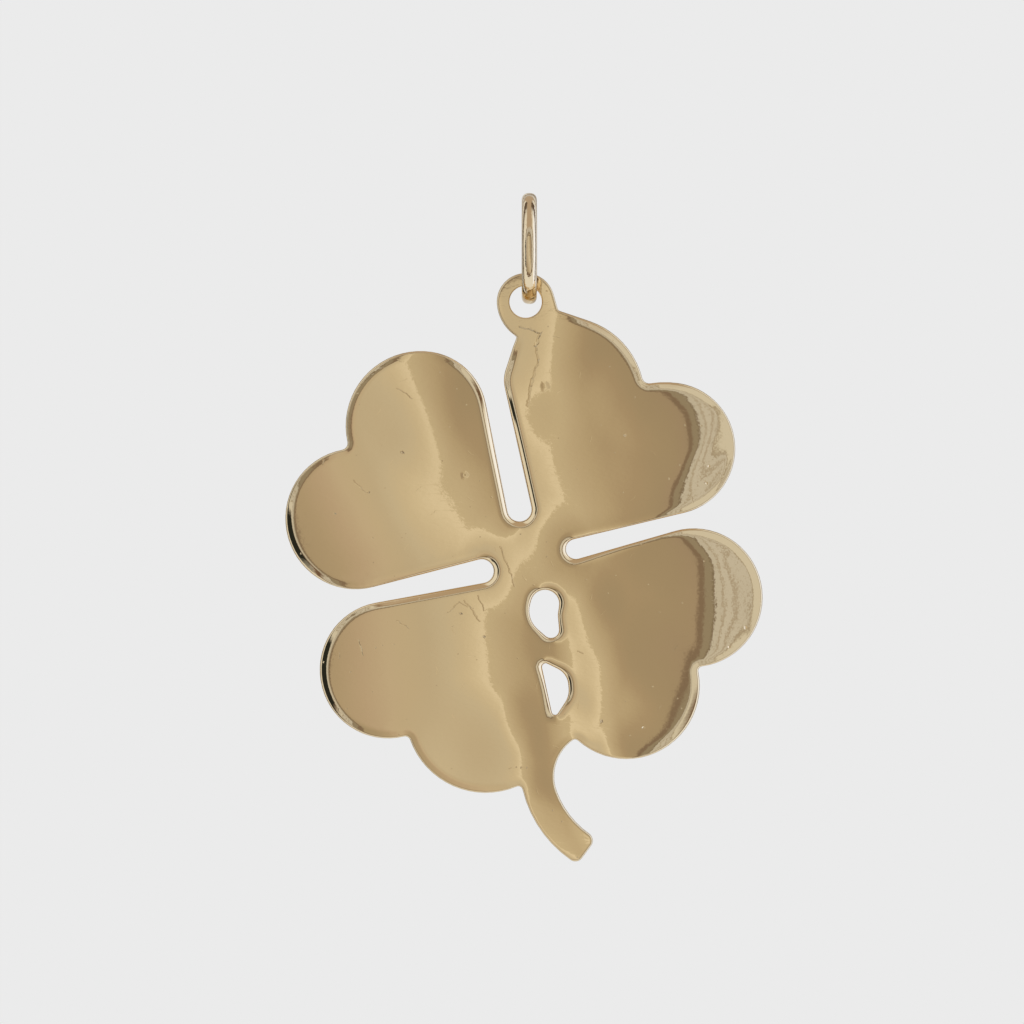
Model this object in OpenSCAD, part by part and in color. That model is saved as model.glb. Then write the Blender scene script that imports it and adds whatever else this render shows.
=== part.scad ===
// Four leaf clover pendant in solid yellow gold, hanging on its jump ring.
// Four heart shaped leaves, parted by narrow slots, meet at a hub. A curved stem runs down from
// the hub across the lowest slot and leaves one small opening on each side of itself. The plate
// is dished: each leaf has a domed front of its own, and the back is one smooth hollow.
// A small eye grows out of the upper right leaf, and the jump ring passes through it.
// X is to the right as seen from the front, Y points away from the viewer and Z is up. The
// origin is where a chain runs: the inside of the top of the jump ring. Lengths are in mm.

/* [Leaves] */
// Distance from the hub to the middle of a lobe, of which each leaf has two
leaf_reach = 10.3; // [9.9:0.1:10.8]
// Radius of a lobe
lobe_r = 4.3; // [4.0:0.05:4.5]
// Turn of the leaves and slots round the hub, anticlockwise from the diagonals
leaf_turn = 12.5; // [9:0.5:16]
// Radius in the notch between the two lobes of a leaf
notch_r = 0.35; // [0.2:0.05:0.45]
// Distance from the hub to the middle of a slot's round end
slot_reach = 2.95; // [2.7:0.05:3.3]
// Radius of a slot's round end
slot_end_r = 0.72; // [0.6:0.02:0.8]

/* [Plate] */
// Thickness from the top of the leaves' domes to the deepest place of the hollow back
wall = 0.9; // [0.8:0.05:1.2]
// Radius of the hollow that the back follows
dish_r = 72; // [66:1:90]
// How far the hollow's deepest place lies to the left of the hub
dish_side = 0.5; // [0:0.05:0.9]
// How far the hollow's deepest place lies above the hub
dish_up = 2; // [0:0.1:3]
// Radius of the dome on the front of each leaf
dome_r = 44; // [42:1:50]
// Distance from the hub to the top of a dome
dome_reach = 5.5; // [5:0.1:6]

/* [Stem] */
// Width of the stem
stem_w = 1.95; // [1.7:0.05:2.3]
// Radius of the stem's bend, to the middle of its width
stem_bend_r = 6.45; // [6.1:0.05:6.8]
// How far the middle of the bend lies to the right of the hub
stem_side = 6.8; // [6.5:0.05:7.1]
// How far the middle of the bend lies below the hub
stem_drop = 12.3; // [12:0.05:12.6]
// Direction of the stem's tip from the middle of the bend, in degrees
stem_tip_turn = 234.5; // [228:0.5:242]
// Radius of the corners of the stem's tip
tip_r = 0.5; // [0.3:0.05:0.7]
// Radius in the corners where the stem leaves the leaves
crotch_r = 0.25; // [0.15:0.05:0.35]

/* [Openings beside the stem] */
// Height of the upper opening, which is right of the lower leaf's edge and left of the stem
upper_open_h = 2.9; // [2.6:0.05:3.1]
// How far the middle of the upper opening lies below the hub
upper_open_drop = 3.4; // [3.3:0.05:3.6]
// Height of the lower opening, which is right of the stem
lower_open_h = 3.1; // [2.8:0.05:3.3]
// How far the middle of the lower opening lies below the hub
lower_open_drop = 7.95; // [7.7:0.05:8.2]

/* [Eye] */
// Diameter of the hole in the eye
eye_bore_d = 1.96; // [1.9:0.02:2.3]
// Width of metal round the hole
eye_wall = 0.76; // [0.6:0.02:0.9]
// Height of the eye's middle above the hub
eye_height = 15.4; // [15:0.1:15.8]
// How far the eye's middle lies to the left of the hub
eye_side = 0.24; // [0:0.01:0.3]

/* [Jump ring] */
// Diameter of the ring's round wire
ring_wire_d = 0.92; // [0.8:0.02:1]
// Clear diameter inside the ring
ring_inner_d = 4.85; // [4.4:0.05:6]
// Clearance between the ring's wire and the top of the eye's hole
ring_gap = 0.12; // [0.1:0.01:0.15]
// How far the eye's middle hangs to the left of straight below the wire, in degrees
eye_lean = 33; // [0:1:45]

/* [Hidden] */

gold = [0.80, 0.64, 0.38];
pale_gold = [0.86, 0.70, 0.46];
// Longest turn between two points of a round stretch of the outline, in degrees
arc_step = 6;
// Shortest run between two points of the outline
least_run = 0.02;
// Sides of the large round faces, of the eye's hole and of the ring
dome_sides = 240;
hole_sides = 64;
ring_sides = 96;
wire_sides = 32;
bulge = 1;
turn_in = -1;

ring_mid_r = (ring_inner_d + ring_wire_d) / 2;
ring_mid_z = -ring_inner_d / 2;
wire_low_z = ring_mid_z - ring_mid_r;
eye_bore_r = eye_bore_d / 2;
eye_r = eye_bore_r + eye_wall;
eye_hang = eye_bore_r - ring_wire_d / 2 - ring_gap;
eye_x = -eye_hang * sin(eye_lean);
eye_z = wire_low_z - eye_hang * cos(eye_lean);
hub_x = eye_x + eye_side;
hub_z = eye_z - eye_height;

// An outline is a row of discs, [x, z, radius, side], with a straight run from each disc to the
// next like a belt round pulleys. side is bulge where the belt goes round the disc's outside and
// turn_in where the disc lies outside the metal. The row goes anticlockwise, in mm from the hub.
function polar(turn, reach) = reach * [cos(turn), sin(turn)];
function signed_r(disc) = disc[2] * disc[3];
function middle(disc) = [disc[0], disc[1]];

// A disc that touches another from inside, at the given turn, and has a share of its radius:
// under 1 the outline tightens there, over 1 it flattens
function touching(disc, share, turn) =
    let (at = middle(disc) + polar(turn, disc[2] * (1 - share)))
    [at[0], at[1], disc[2] * share, disc[3]];

// A disc outside the metal that touches a bulging disc at the given turn
function beside(disc, r, turn) =
    let (at = middle(disc) + polar(turn, disc[2] + r))
    [at[0], at[1], r, turn_in];

// The disc of radius r that rounds the corner between two discs that overlap
function fillet(a, b, r) =
    let (
        across = middle(b) - middle(a),
        gap = norm(across),
        along = across / gap,
        from_a = a[2] + a[3] * r,
        from_b = b[2] + b[3] * r,
        t = (gap * gap + from_a * from_a - from_b * from_b) / (2 * gap),
        out = a[3] * sqrt(max(0, from_a * from_a - t * t)),
        at = middle(a) + t * along + out * [along[1], -along[0]]
    )
    [at[0], at[1], r, turn_in];

// The direction square to the straight run from disc a to disc b, into the metal
function run_normal(a, b) =
    let (
        across = middle(b) - middle(a),
        gap = norm(across),
        along = across / gap,
        lean = max(-1, min(1, (signed_r(b) - signed_r(a)) / gap))
    )
    lean * along + sqrt(1 - lean * lean) * [-along[1], along[0]];

// The round stretch of the belt on one disc
function arc_points(disc, normal_in, normal_out) =
    let (
        side = disc[3],
        start = atan2(-side * normal_in[1], -side * normal_in[0]),
        end = atan2(-side * normal_out[1], -side * normal_out[0]),
        full = ((end - start) * side % 360 + 360) % 360,
        sweep = full > 350 ? 0 : full,
        steps = max(1, ceil(sweep / arc_step))
    )
    [for (i = [0 : steps]) middle(disc) + polar(start + side * sweep * i / steps, disc[2])];

function belt(discs) =
    let (
        n = len(discs),
        normals = [for (i = [0 : n - 1]) run_normal(discs[i], discs[(i + 1) % n])],
        points = [
            for (i = [0 : n - 1])
                each arc_points(discs[i], normals[(i + n - 1) % n], normals[i])
        ],
        m = len(points)
    )
    [for (i = [0 : m - 1]) if (norm(points[i] - points[(i + m - 1) % m]) > least_run) points[i]];

// The lobes. Columns: turn round the hub in degrees before leaf_turn, reach as a share of
// leaf_reach, radius as a share of lobe_r
function lobe(turn, reach_share, r_share) =
    let (at = polar(turn + leaf_turn, leaf_reach * reach_share))
    [at[0], at[1], lobe_r * r_share, bulge];
right_up_shoulder = lobe(74.5, 1.036, 0.49);
left_up_top = lobe(117.2, 0.998, 1.046);
left_up_side = lobe(155.1, 1.043, 0.985);
left_low_side = lobe(206, 1.059, 0.958);
left_low_foot = lobe(241.7, 0.948, 1.119);
right_low_foot = lobe(294.5, 0.944, 1.023);
right_low_side = lobe(333.7, 0.988, 0.97);
right_up_side = lobe(25.4, 1.035, 0.924);
right_up_top = lobe(65.5, 0.954, 1.133);

// The three open slots. Columns: turn in degrees before leaf_turn, reach as a share of
// slot_reach, radius as a share of slot_end_r
function slot_end(turn, reach_share, r_share) =
    let (at = polar(turn + leaf_turn, slot_reach * reach_share))
    [at[0], at[1], slot_end_r * r_share, turn_in];
slot_up = slot_end(89.5, 1, 1.01);
slot_left = slot_end(183.6, 1.015, 0.99);
slot_right = slot_end(-2.3, 0.955, 0.83);

// The stem: two edges about one middle, a tip with two round corners, and a flare on its right
stem_mid = [stem_side, -stem_drop];
stem_outer_r = stem_bend_r + stem_w / 2;
stem_inner_r = stem_bend_r - stem_w / 2;
stem_outer = [stem_mid[0], stem_mid[1], stem_outer_r, bulge];
stem_inner = [stem_mid[0], stem_mid[1], stem_inner_r, turn_in];
function tip_corner(reach) =
    let (at = stem_mid + polar(stem_tip_turn, reach))
    [at[0], at[1], tip_r, bulge];
tip_outer = tip_corner(stem_outer_r - tip_r);
tip_inner = tip_corner(stem_inner_r + tip_r);
flare_share = 0.5;
flare_turn = 199.5;
stem_flare = touching(stem_inner, flare_share, flare_turn);

// The eye, and the foot that widens it into the leaf on its left
eye_disc = [-eye_side, eye_height, eye_r, bulge];
foot_share = 1.47;
foot_turn = 184;
eye_foot = touching(eye_disc, foot_share, foot_turn);
foot_notch_turn = 237.5;
foot_notch_r = 0.15;
foot_notch = beside(eye_foot, foot_notch_r, foot_notch_turn);
neck_turn = -9.3;
neck_reach = 1.25;
neck_r = 0.23;
neck_at = middle(eye_disc) + polar(neck_turn, eye_r * neck_reach);
neck = [neck_at[0], neck_at[1], neck_r, turn_in];

// The upper side of the right lobe is flatter than the rest of it
flat_share = 1.45;
flat_turn = 82;
right_up_flat = touching(right_up_side, flat_share, flat_turn);
// The notches, whose radii are shares of notch_r
left_up_notch = fillet(left_up_top, left_up_side, notch_r * 1.15);
left_low_notch = fillet(left_low_side, left_low_foot, notch_r * 0.85);
right_low_notch = fillet(right_low_foot, right_low_side, notch_r * 0.8);
right_up_notch = fillet(right_up_flat, right_up_top, notch_r * 1.2);
// The inner side of the upper left leaf turns tighter than its top
tight_share = 0.87;
tight_turn = 81;
left_up_tight = touching(left_up_top, tight_share, tight_turn);

outline = belt([
    eye_disc, eye_foot, foot_notch, right_up_shoulder, slot_up,
    left_up_tight, left_up_top, left_up_notch, left_up_side, slot_left,
    left_low_side, left_low_notch, left_low_foot,
    fillet(left_low_foot, stem_outer, crotch_r), stem_outer, tip_outer, tip_inner,
    stem_inner, stem_flare, fillet(stem_flare, right_low_foot, crotch_r),
    right_low_foot, right_low_notch, right_low_side, slot_right,
    right_up_side, right_up_flat, right_up_notch, right_up_top, neck
]);

// The openings beside the stem. Columns: how far right of the hub and how far above the
// opening's middle, and radius, all as shares of the opening's height, then the side
upper_open_discs = [
    [0.317, 0.207, 0.293, bulge],
    [0.503, 0.069, 0.510, bulge],
    [0.441, -0.331, 0.169, bulge],
    [0.900, -0.028, 0.317, turn_in]
];
lower_open_discs = [
    [0.310, 0.439, 0.071, bulge],
    [0.494, -0.435, 0.065, bulge],
    [0.335, -0.019, 0.423, bulge],
    [0.384, 0.074, 0.365, bulge]
];
function opening(discs, height, drop) =
    belt([for (d = discs) [d[0] * height, d[1] * height - drop, d[2] * height, d[3]]]);

// The tops of the domes. Columns: turn round the hub in degrees before leaf_turn, reach as a
// share of dome_reach
function dome_top(turn, reach_share) = polar(turn + leaf_turn, dome_reach * reach_share);
right_up_top_at = dome_top(47.7, 1.18);
left_up_top_at = dome_top(116.1, 1.47);
left_low_top_at = dome_top(226.2, 0.76);
right_low_top_at = dome_top(324.2, 0.56);

// Front to back. The eye leans back with the plate, so the plate's middle is at y = 0 a little above
// the middle of the eye's hole: hang_share is how far above, as a share of the hole's radius. There
// the metal stays clear of the round ring however far the clover swings. The hub lies nearer to the
// viewer. sag is how far a round face of radius r lies behind its top at a distance from it.
hang_share = 0.25;
function sag(r, distance) = r - sqrt(r * r - distance * distance);
hung_at = middle(eye_disc) + [0, eye_bore_r * hang_share];
eye_to_dome = norm(hung_at - right_up_top_at);
eye_to_dish = norm(hung_at + [dish_side, -dish_up]);
top_y = -(sag(dome_r, eye_to_dome) + sag(dish_r, eye_to_dish) + wall) / 2;
dish_mid = [-dish_side, top_y + wall + dish_r, dish_up];
// Deep enough for the whole plate, from front to back
blank_front = top_y - 1;
blank_back = -top_y + 1;

// Turns a flat drawing, in mm from the hub, into a plate from y = back towards the viewer
module upright(front, back) {
    translate([0, back, 0]) rotate([90, 0, 0]) linear_extrude(back - front) children();
}

module dome(top) {
    translate([top[0], top_y + dome_r, top[1]]) sphere(dome_r, $fn = dome_sides);
}

module dished_plate() {
    difference() {
        intersection() {
            upright(blank_front, blank_back) polygon(outline);
            union() {
                dome(right_up_top_at);
                dome(left_up_top_at);
                dome(left_low_top_at);
                dome(right_low_top_at);
            }
        }
        translate(dish_mid) sphere(dish_r, $fn = dome_sides);
    }
}

module clover() {
    color(gold)
    translate([hub_x, 0, hub_z]) difference() {
        dished_plate();
        upright(blank_front, blank_back) {
            polygon(opening(upper_open_discs, upper_open_h, upper_open_drop));
            polygon(opening(lower_open_discs, lower_open_h, lower_open_drop));
        }
        upright(blank_front, blank_back)
            translate([-eye_side, eye_height]) circle(eye_bore_r, $fn = hole_sides);
    }
}

module jump_ring() {
    color(pale_gold)
    translate([0, 0, ring_mid_z]) rotate([0, 90, 0]) rotate_extrude($fn = ring_sides)
        translate([ring_mid_r, 0]) circle(ring_wire_d / 2, $fn = wire_sides);
}

clover();
jump_ring();
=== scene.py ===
# %% [markdown]
# # A four leaf clover pendant on its jump ring
#
# The real pendant is a thin plate of 14 carat yellow gold, cast in one piece with its stem and its eye
# and then polished. A ring of round gold wire runs through the eye, and a chain runs through the ring.
# The script loads the measured solids, makes a finer copy of each with softened edges, gives both a
# polished gold, and lights them in a plain pale studio.

# %% Load the frame
import math

import bmesh
import bpy
import numpy as np
from mathutils.geometry import delaunay_2d_cdt
from mathutils.kdtree import KDTree
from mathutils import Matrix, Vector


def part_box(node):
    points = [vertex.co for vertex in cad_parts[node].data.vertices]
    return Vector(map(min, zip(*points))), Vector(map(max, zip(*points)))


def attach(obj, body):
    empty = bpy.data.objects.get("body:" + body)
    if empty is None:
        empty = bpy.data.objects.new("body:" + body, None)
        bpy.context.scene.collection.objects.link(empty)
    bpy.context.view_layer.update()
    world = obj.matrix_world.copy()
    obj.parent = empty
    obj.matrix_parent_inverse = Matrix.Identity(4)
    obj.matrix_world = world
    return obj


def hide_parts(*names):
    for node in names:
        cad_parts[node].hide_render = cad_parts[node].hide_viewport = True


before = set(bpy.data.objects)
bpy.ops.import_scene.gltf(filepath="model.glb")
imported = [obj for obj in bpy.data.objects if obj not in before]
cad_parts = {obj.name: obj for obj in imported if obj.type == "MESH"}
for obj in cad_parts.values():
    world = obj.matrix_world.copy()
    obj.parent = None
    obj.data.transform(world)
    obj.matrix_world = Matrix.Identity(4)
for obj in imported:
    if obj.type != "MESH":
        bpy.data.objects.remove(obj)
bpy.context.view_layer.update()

MM = 0.001
clover_low, clover_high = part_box("clover")
ring_low, ring_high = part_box("jump_ring")
scene = bpy.context.scene
print("clover, mm:", [round(v / MM, 2) for v in (clover_high - clover_low)])
print("jump ring, mm:", [round(v / MM, 2) for v in (ring_high - ring_low)])

# %% [markdown]
# ## Two small helpers
#
# Every material, the studio and both shapes are node trees. One helper adds a node, gives it its
# settings, and fills its inputs in order, either with a value or with a link from another node.
# Colours are read off as ordinary sRGB hex codes, and the other helper turns them into linear light.


# %% Helpers
def add(tree, kind, *values, sockets=None, **settings):
    """Adds a node. Values fill the inputs in use in order, and sockets fills inputs by name."""
    node = tree.nodes.new(kind)
    for name, value in settings.items():
        setattr(node, name, value)
    in_use = [socket for socket in node.inputs if socket.enabled]
    wanted = list(zip(in_use, values)) + [(node.inputs[n], v) for n, v in (sockets or {}).items()]
    for socket, value in wanted:
        if isinstance(value, bpy.types.Node):
            value = next(output for output in value.outputs if output.enabled)
        if isinstance(value, bpy.types.NodeSocket):
            tree.links.new(value, socket)
        elif value is not None:
            socket.default_value = value
    return node


def linear(code, share=1.0):
    """The linear light of an sRGB hex code, with full opacity."""
    levels = [int(code[i:i + 2], 16) / 255 for i in (1, 3, 5)]
    light = [v / 12.92 if v <= 0.04045 else ((v + 0.055) / 1.055) ** 2.4 for v in levels]
    return [v * share for v in light] + [1.0]


MATH = "ShaderNodeMath"
VECTOR = "ShaderNodeVectorMath"
MIX = "ShaderNodeMix"
RANGE = "ShaderNodeMapRange"
NOISE = "ShaderNodeTexNoise"
BUMP = "ShaderNodeBump"
GOLD = "#EDD3A4"
WIRE_GOLD = "#EFD7AC"
print("14 carat gold in linear light:", [round(v, 3) for v in linear(GOLD)[:3]])

# %% [markdown]
# ## The outline of the plate
#
# The plate has the same outline through its whole thickness, and that outline is the one thing that
# has to match the measured solid exactly. It could be drawn again, but reading it from the solid
# keeps the two alike: each edge between the front and a wall is part of it.

# %% Read the outline
# Points nearer than this are one point
WELD = 0.001 * MM
# A front face points at least this far forwards, and a wall at most this far forwards or backwards
FORWARDS, SIDEWAYS = 0.5, 0.3


def rim_loops(node):
    """The closed loops where the walls meet the front, each a list of (x, z) points."""
    shape = bmesh.new()
    shape.from_mesh(node.data)
    bmesh.ops.remove_doubles(shape, verts=shape.verts, dist=WELD)
    shape.normal_update()
    beside = {}
    for edge in shape.edges:
        facing = sorted(face.normal.y for face in edge.link_faces)
        if len(facing) == 2 and facing[0] < -FORWARDS and abs(facing[1]) < SIDEWAYS:
            for end, other in (edge.verts, reversed(edge.verts)):
                beside.setdefault(end, []).append(other)
    loops = []
    while beside:
        start = next(iter(beside))
        loop, here, last = [], start, None
        while here in beside:
            loop.append((here.co.x, here.co.z))
            onward = [v for v in beside.pop(here) if v is not last]
            last, here = here, onward[0]
        loops.append(np.array(loop))
    shape.free()
    return loops


rough_loops = rim_loops(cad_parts["clover"])
print("loops:", len(rough_loops), "with points:", [len(loop) for loop in rough_loops])

# %% [markdown]
# The solid's short straight steps are turned back into a smooth curve that runs through their ends,
# and points are laid along it at even distances. Without this the polished edge would mirror the
# steps. The outer loop runs one way round and the loops of the holes run the other way, so the metal
# is always on the same side.

# %% Smooth the outline
# The distance between the points of the new curve, and the fewest that a loop has
STEP = 0.12 * MM
FEWEST = 24
# The shortest step of the solid that is kept, and the longest that isn't split
SHORTEST = 0.02 * MM
LONGEST = 0.5 * MM
# Into how many parts the curve is worked out between two points
PARTS = 12


def smooth_loop(points, step):
    """Even points along a centripetal curve through the loop's points."""
    keep = [points[0]]
    for point in points[1:]:
        if np.hypot(*(point - keep[-1])) > SHORTEST:
            keep.append(point)
    dense = []
    for a, b in zip(keep, keep[1:] + keep[:1]):
        parts = max(1, round(np.hypot(*(b - a)) / LONGEST))
        dense += [a + (b - a) * i / parts for i in range(parts)]
    p = np.array(dense)
    before, after, beyond = np.roll(p, 1, 0), np.roll(p, -1, 0), np.roll(p, -2, 0)
    pairs = ((before, p), (p, after), (after, beyond))
    gap = [np.sqrt(np.hypot(*(b - a).T))[:, None] for a, b in pairs]
    rise_a = (p - before) / gap[0] - (after - before) / (gap[0] + gap[1]) + (after - p) / gap[1]
    rise_b = (after - p) / gap[1] - (beyond - p) / (gap[1] + gap[2]) + (beyond - after) / gap[2]
    rise_a, rise_b = rise_a * gap[1], rise_b * gap[1]
    fine = []
    for t in np.linspace(0, 1, PARTS, endpoint=False):
        fine.append(p * (2 * t**3 - 3 * t**2 + 1) + after * (3 * t**2 - 2 * t**3)
                    + rise_a * (t**3 - 2 * t**2 + t) + rise_b * (t**3 - t**2))
    curve = np.stack(fine, 1).reshape(-1, 2)
    curve = np.vstack([curve, curve[:1]])
    along = np.concatenate([[0], np.cumsum(np.hypot(*np.diff(curve, axis=0).T))])
    spots = np.linspace(0, along[-1], max(FEWEST, round(along[-1] / step)), endpoint=False)
    return np.stack([np.interp(spots, along, curve[:, i]) for i in (0, 1)], 1)


def area(loop):
    """The area in a loop, with a minus where it runs clockwise."""
    x, z = loop.T
    return 0.5 * np.sum(x * np.roll(z, -1) - z * np.roll(x, -1))


loops = sorted((smooth_loop(loop, STEP) for loop in rough_loops), key=lambda loop: -abs(area(loop)))
loops = [loop if (area(loop) > 0) == (i == 0) else loop[::-1] for i, loop in enumerate(loops)]
for loop in loops:
    length = np.sum(np.hypot(*(np.roll(loop, -1, 0) - loop).T))
    print(f"loop of {len(loop)} points, {length / MM:.1f} mm long, {abs(area(loop)) / MM**2:.1f} mm2")

# %% [markdown]
# ## The blank
#
# Polishing rounds the edges and lets the face fall away a little beside them, and that is what makes
# the cream lines along every edge. So rows of points run beside the outline, close together at the
# edge and wider inside it.

# %% Rows beside the edge
# How far each row lies from the edge, in mm. The wide rows fill the rest of the bevel's foot
ROWS = [0, 0.005, 0.02, 0.045, 0.08, 0.13, 0.19, 0.215, 0.24, 0.265, 0.3, 0.36]
WIDE_ROWS = [0.42, 0.48, 0.54, 0.6, 0.67]


def inward(loop):
    """The direction into the metal at each point of a loop."""
    run = np.roll(loop, -1, 0) - np.roll(loop, 1, 0)
    run /= np.hypot(*run.T)[:, None]
    return np.stack([-run[:, 1], run[:, 0]], 1)


def in_metal(points, borders):
    """Whether each point is inside the outer border and outside the holes."""
    crossings = np.zeros(len(points), int)
    for border in borders:
        (ax, az), (bx, bz) = border.T, np.roll(border, -1, 0).T
        for i, (x, z) in enumerate(points):
            over = (az > z) != (bz > z)
            share = (z - az[over]) / (bz[over] - az[over])
            crossings[i] += np.sum(x < (bx[over] - ax[over]) * share + ax[over])
    return crossings % 2 == 1


def near_search(points):
    """A search tree for the nearest of some (x, z) points."""
    tree = KDTree(len(points))
    for i, point in enumerate(points):
        tree.insert((point[0], point[1], 0), i)
    tree.balance()
    return tree


def gap_to(tree, point):
    """How far a point is from the nearest point of a search tree."""
    return tree.find((point[0], point[1], 0))[2]


flat, strips, borders = [], [], []
for loop in loops:
    aim = inward(loop)
    rows = []
    for distance in ROWS:
        rows.append(range(len(flat), len(flat) + len(loop)))
        flat += list(loop + aim * distance * MM)
    strips.append(rows)
    borders.append(loop + aim * ROWS[-1] * MM)
print("points in the rows:", len(flat))

# %% [markdown]
# An even grid fills the rest. The wide rows are kept only where no other edge is nearer, so they
# don't cross in the narrow places, and the grid keeps off both kinds of rows. The bore is the hole in
# the eye, and its edge is not ground back.

# %% Fill the inside
GRID = 0.3 * MM
# How far the grid keeps off the rows and off the wide rows
ROW_CLEARANCE = 0.14 * MM
WIDE_ROW_CLEARANCE = 0.16 * MM
# How much nearer another edge may be to a point of a wide row, in mm
ROW_SLACK = 0.02

bore = min(loops, key=lambda loop: -loop[:, 1].mean())
worn = [loop for loop in loops if loop is not bore]
quarters = [loop + (np.roll(loop, -1, 0) - loop) * t / 4 for loop in worn for t in range(4)]
worn_edges = near_search(np.concatenate(quarters))
all_edges = near_search(np.concatenate(loops))

extra = []
for i, distance in enumerate(WIDE_ROWS):
    for loop in loops:
        row = (loop + inward(loop) * distance * MM)[i % 2::2]
        extra += [point for point in row if gap_to(all_edges, point) > (distance - ROW_SLACK) * MM]
wide_points = near_search(extra)

low, high = loops[0].min(0), loops[0].max(0)
grid = []
for j, z in enumerate(np.arange(low[1], high[1], GRID * math.sqrt(0.75))):
    grid += [(x + (j % 2) * GRID / 2, z) for x in np.arange(low[0], high[0], GRID)]
grid = np.array(grid)
grid = grid[in_metal(grid, loops)]
inner = extra + [point for point in grid if gap_to(all_edges, point) > ROWS[-1] * MM + ROW_CLEARANCE
                 and gap_to(wide_points, point) > WIDE_ROW_CLEARANCE]
inner_ids = list(range(len(flat), len(flat) + len(inner)))
flat = np.array(flat + inner)

rim_ids = [i for rows in strips for i in rows[-1]]
fill_ids = rim_ids + inner_ids
place = {v: i for i, v in enumerate(fill_ids)}
ties = []
for rows in strips:
    last = list(rows[-1])
    ties += [(place[a], place[b]) for a, b in zip(last, last[1:] + last[:1])]
result = delaunay_2d_cdt([tuple(flat[i] / MM) for i in fill_ids], ties, [], 0, 1e-7)
middle = np.array([np.mean([result[0][v] for v in tri], axis=0) for tri in result[2]])
kept = in_metal(middle, [border / MM for border in borders])
fill = [[fill_ids[result[3][v][0]] for v in tri] for tri, inside in zip(result[2], kept) if inside]
print("points:", len(flat), "inside:", len(inner), "triangles:", len(fill))

# %% [markdown]
# The blank is closed with a back like the front and with walls between them. It is still flat. Each
# point knows how far it is from the edge, how far from the bore, and how deep it is in the wall.

# %% Close the blank
WALL_ROWS = 3
# A distance past the reach of any form, for the points away from the bore
FAR = 1.0

count = len(flat)
faces = [tuple(tri) for tri in fill]
for rows in strips:
    for outer, deeper in zip(rows, rows[1:]):
        for i in range(len(outer)):
            j = (i + 1) % len(outer)
            faces.append((outer[i], outer[j], deeper[j], deeper[i]))
faces += [tuple(count + v for v in reversed(face)) for face in faces]
level = [0.0] * count + [1.0] * count
spots = np.vstack([flat, flat])
for rows in strips:
    edge = list(rows[0])
    ladder = [edge]
    for k in range(1, WALL_ROWS):
        ladder.append(list(range(len(spots), len(spots) + len(edge))))
        spots = np.vstack([spots, flat[edge]])
        level += [k / WALL_ROWS] * len(edge)
    ladder.append([count + v for v in edge])
    for upper, lower in zip(ladder, ladder[1:]):
        for i in range(len(edge)):
            j = (i + 1) % len(edge)
            faces.append((upper[j], upper[i], lower[i], lower[j]))
near = [gap_to(worn_edges, point) for point in spots]
near_bore = [FAR] * len(spots)
for loop, rows in zip(loops, strips):
    for distance, row in zip(ROWS, rows):
        for v in row:
            for side in (v, v + count):
                (near_bore if loop is bore else near)[side] = distance * MM
blank = bpy.data.meshes.new("clover_blank")
blank.from_pydata([(x, 0, z) for x, z in spots], [], faces)
for name, values in (("edge_distance", near), ("bore_distance", near_bore), ("depth", level)):
    blank.attributes.new(name, "FLOAT", "POINT").data.foreach_set("value", values)
print("blank:", len(blank.vertices), "points,", len(blank.polygons), "faces")

# %% [markdown]
# ## The forms of the plate
#
# A caster models such a plate in wax: each leaf is domed a little, the back is hollowed to save gold,
# and the leaves run into one another at the hub. Hand finishing then leaves the face slightly uneven
# and the rims ground back more in some places than in others. All of these are sizes and tables, and
# every place in them is counted from the hub. The tops of the domes and the depths of the uneven
# places come from a fit to what the real piece mirrors, and the rest was chosen.

# %% Sizes of the plate's forms
# The hub, right of and above the lower left corner of the measured clover's box, in mm
HUB_PLACE = (14.725, 18.437)
HUB = np.array((clover_low.x, clover_low.z)) + np.array(HUB_PLACE) * MM
LENGTHS = {
    "Dome radius": 44 * MM,
    "Back radius": 72 * MM,
    "Wall": 0.9 * MM,
    "Valley softness": 0.15 * MM,
    "Bevel width": 0.52 * MM,
    "Bevel softness": 0.15 * MM,
    "Slot bevel softness": 0.4 * MM,
    "Edge round": 0.1 * MM,
    "Back edge round": 0.15 * MM,
    "Bore round": 0.05 * MM,
    "Front": clover_low.y,
}
SHARES = {"Bevel slope": 0.15, "Slot slope": 0.5}
# The top of each dome, x and z from the hub in mm, and how far its crest turns askew
TOPS = {"right upper": (3.28, 5.38, 0.115), "left upper": (-5.27, 5.72, 0.236),
        "left lower": (-1.77, -3.80, -0.176), "right lower": (3.20, -1.27, -0.175)}
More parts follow.
